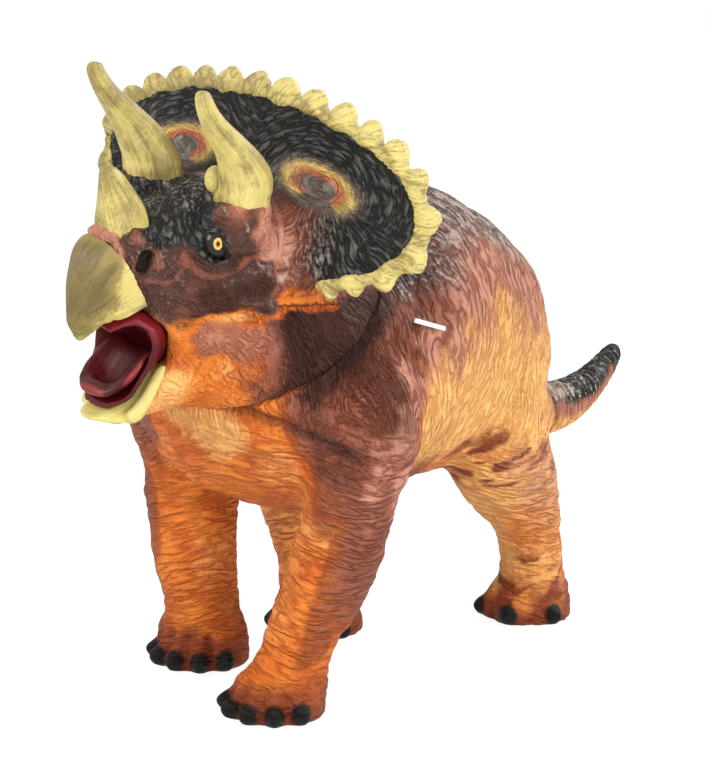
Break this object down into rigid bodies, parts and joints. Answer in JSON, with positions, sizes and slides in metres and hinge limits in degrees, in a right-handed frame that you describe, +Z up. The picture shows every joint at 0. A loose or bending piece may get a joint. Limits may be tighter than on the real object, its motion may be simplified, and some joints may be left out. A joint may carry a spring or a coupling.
{
  "type": "toy dinosaur figure",
  "caption": "Soft vinyl three-horned dinosaur toy in a walking stance, mouth open, with a scalloped neck frill, and a head and tail that turn at round friction joints.",
  "frame": {"origin": "middle of the floor area the figure takes up, at the height of its soles", "axes": "+Y from the head towards the tail, along the body's length; +Z up; +X to the animal's left"},
  "size_m": [0.1328, 0.2834, 0.179],
  "materials": {
    "painted_skin": "soft vinyl, sprayed in amber, mauve and charcoal, satin",
    "horn_cream": "stiffer vinyl, cream with an olive-brown wash, satin",
    "mouth_red": "dark maroon, glossy",
    "tongue_pink": "dark red with a pink rim, glossy",
    "eye_black": "glossy, with a painted yellow-orange ring",
    "stiff_plastic": "plain moulding, unpainted",
    "nylon": "white",
    "fibre": "loose polyester fibre"
  },
  "bodies": {
    "body": {"body_shell": "painted_skin", "neck_plug": "stiff_plastic", "neck_snap_ring": "stiff_plastic", "tail_plug": "stiff_plastic", "tail_snap_ring": "stiff_plastic", "torso_filling": "fibre", "tag_fastener": "nylon"},
    "head": {"head_shell": "painted_skin", "frill_edging": "horn_cream", "nose_horn": "horn_cream", "left_brow_horn": "horn_cream", "right_brow_horn": "horn_cream", "upper_beak": "horn_cream", "lower_beak": "horn_cream", "mouth_liner": "mouth_red", "tongue": "tongue_pink", "left_eye": "eye_black", "right_eye": "eye_black", "head_filling": "fibre"},
    "tail": {"tail_shell": "painted_skin"}
  },
  "joints": [
    {"name": "neck_swivel", "type": "hinge", "parent": "body", "child": "head", "pos_m": [-0.0048, -0.07679, 0.1075], "axis": [0, -0.5878, 0.809], "range_deg": [-20, 35]},
    {"name": "tail_swivel", "type": "hinge", "parent": "body", "child": "tail", "pos_m": [-0.0048, 0.08371, 0.048], "axis": [0, 1, 0], "range_deg": [-45, 45]}
  ]
}
